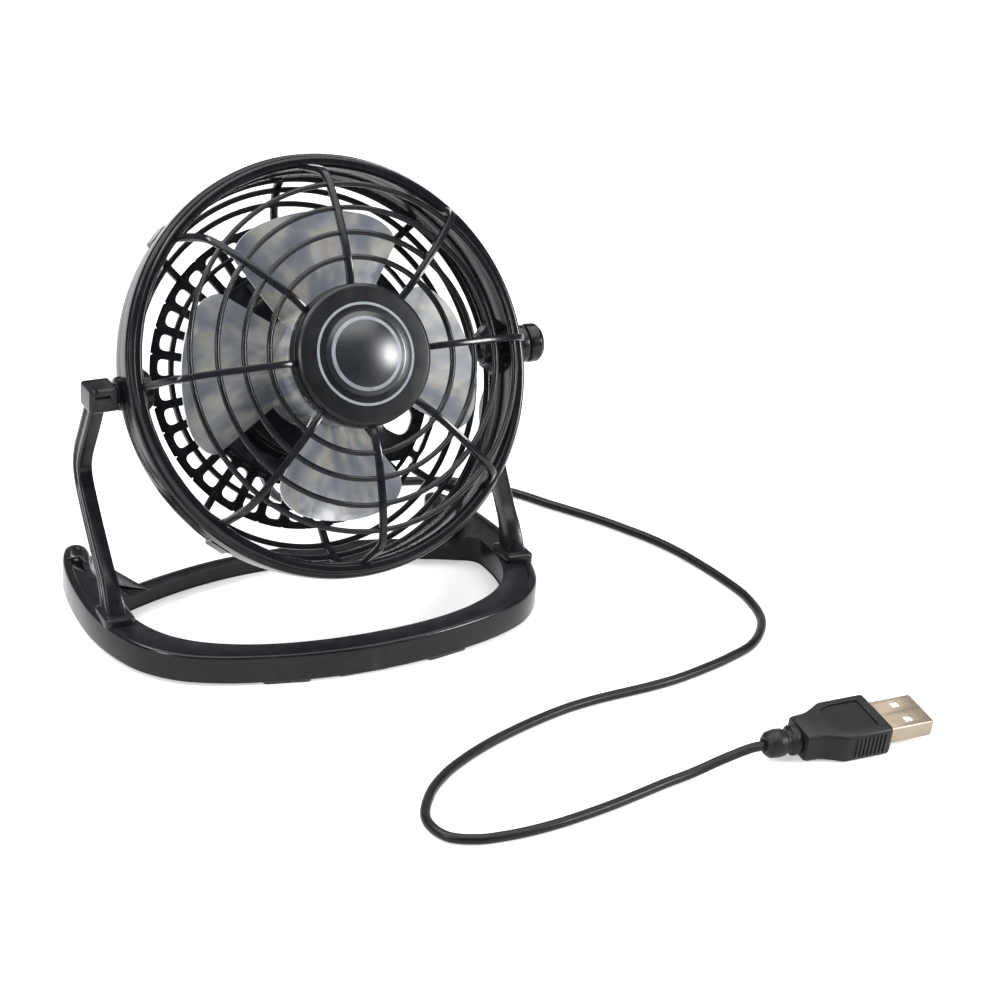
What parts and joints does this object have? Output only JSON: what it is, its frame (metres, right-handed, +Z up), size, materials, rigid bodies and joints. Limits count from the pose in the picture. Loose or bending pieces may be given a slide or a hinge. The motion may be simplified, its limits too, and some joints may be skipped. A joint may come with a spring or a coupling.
{
  "type": "desk fan",
  "caption": "Small tilting USB desk fan: round cage head with a translucent impeller, held between two arms on an open ring stand, with a thin lead ending in a flat plug.",
  "frame": {"origin": "on the table under the middle of the stand and head, cord and plug left out", "axes": "+Z up; the fan faces -Y and is tilted back; +X to the viewer's right when looking at the front of the fan, along the tilt axis"},
  "size_m": [0.1796, 0.1896, 0.1202],
  "materials": {
    "black_stand": "satin moulded black plastic",
    "black_guard": "satin moulded black plastic",
    "hub_face": "glossy black plastic with thin silver circles",
    "black_cover": "fine-grained black plastic",
    "smoke_blade": "smoke-tinted translucent plastic",
    "soft_black": "satin soft PVC",
    "cord_jacket": "satin PVC jacket",
    "rubber_feet": "matte rubber",
    "zinc_steel": "bright zinc-plated steel",
    "bronze": "sintered bronze",
    "copper_strip": "copper alloy strip",
    "ferrite": "ground ferrite",
    "white_nylon": "natural white plastic",
    "plug_nickel": "nickel-plated sheet steel",
    "gold_contact": "gold-plated spring contact"
  },
  "bodies": {
    "stand": {"stand_base": "black_stand", "foot_front_left": "rubber_feet", "foot_front_right": "rubber_feet", "foot_rear_left": "rubber_feet", "foot_rear_right": "rubber_feet", "left_arm": "black_stand", "right_arm": "black_stand", "usb_cord": "cord_jacket", "plug_grip": "soft_black", "plug_strain_relief": "soft_black", "plug_shell": "plug_nickel", "plug_tongue": "white_nylon", "plug_contact_1": "gold_contact", "plug_contact_2": "gold_contact", "plug_contact_3": "gold_contact", "plug_contact_4": "gold_contact"},
    "head": {"rear_shell": "black_guard", "front_grille": "black_guard", "hub_badge": "hub_face", "motor_can": "zinc_steel", "motor_end_cap": "white_nylon", "bushing_front": "bronze", "bushing_rear": "bronze", "magnet_upper": "ferrite", "magnet_lower": "ferrite", "brush_left": "copper_strip", "brush_right": "copper_strip", "rear_cover": "black_cover", "cover_screw_left": "zinc_steel", "cover_screw_right": "zinc_steel", "switch_body": "black_cover", "cord_gland": "soft_black", "left_pivot_pin": "black_guard", "tilt_knob": "black_guard"},
    "rotor": {"motor_shaft": "zinc_steel", "armature_core": "zinc_steel", "commutator": "copper_strip", "impeller": "smoke_blade"},
    "rocker": {"switch_rocker": "black_cover"}
  },
  "joints": [
    {"name": "head_tilt", "type": "hinge", "parent": "stand", "child": "head", "pos_m": [0, 0.00298, 0.0674], "axis": [-1, 0, 0], "range_deg": [-45, 60]},
    {"name": "blade_spin", "type": "hinge", "parent": "head", "child": "rotor", "pos_m": [0, 0.00298, 0.0674], "axis": [0, -0.8805, 0.4741], "continuous": true},
    {"name": "switch_rocker", "type": "hinge", "parent": "head", "child": "rocker", "pos_m": [0, 0.03145, 0.06206], "axis": [0, 0.4741, 0.8805], "range_deg": [0, 12]}
  ]
}
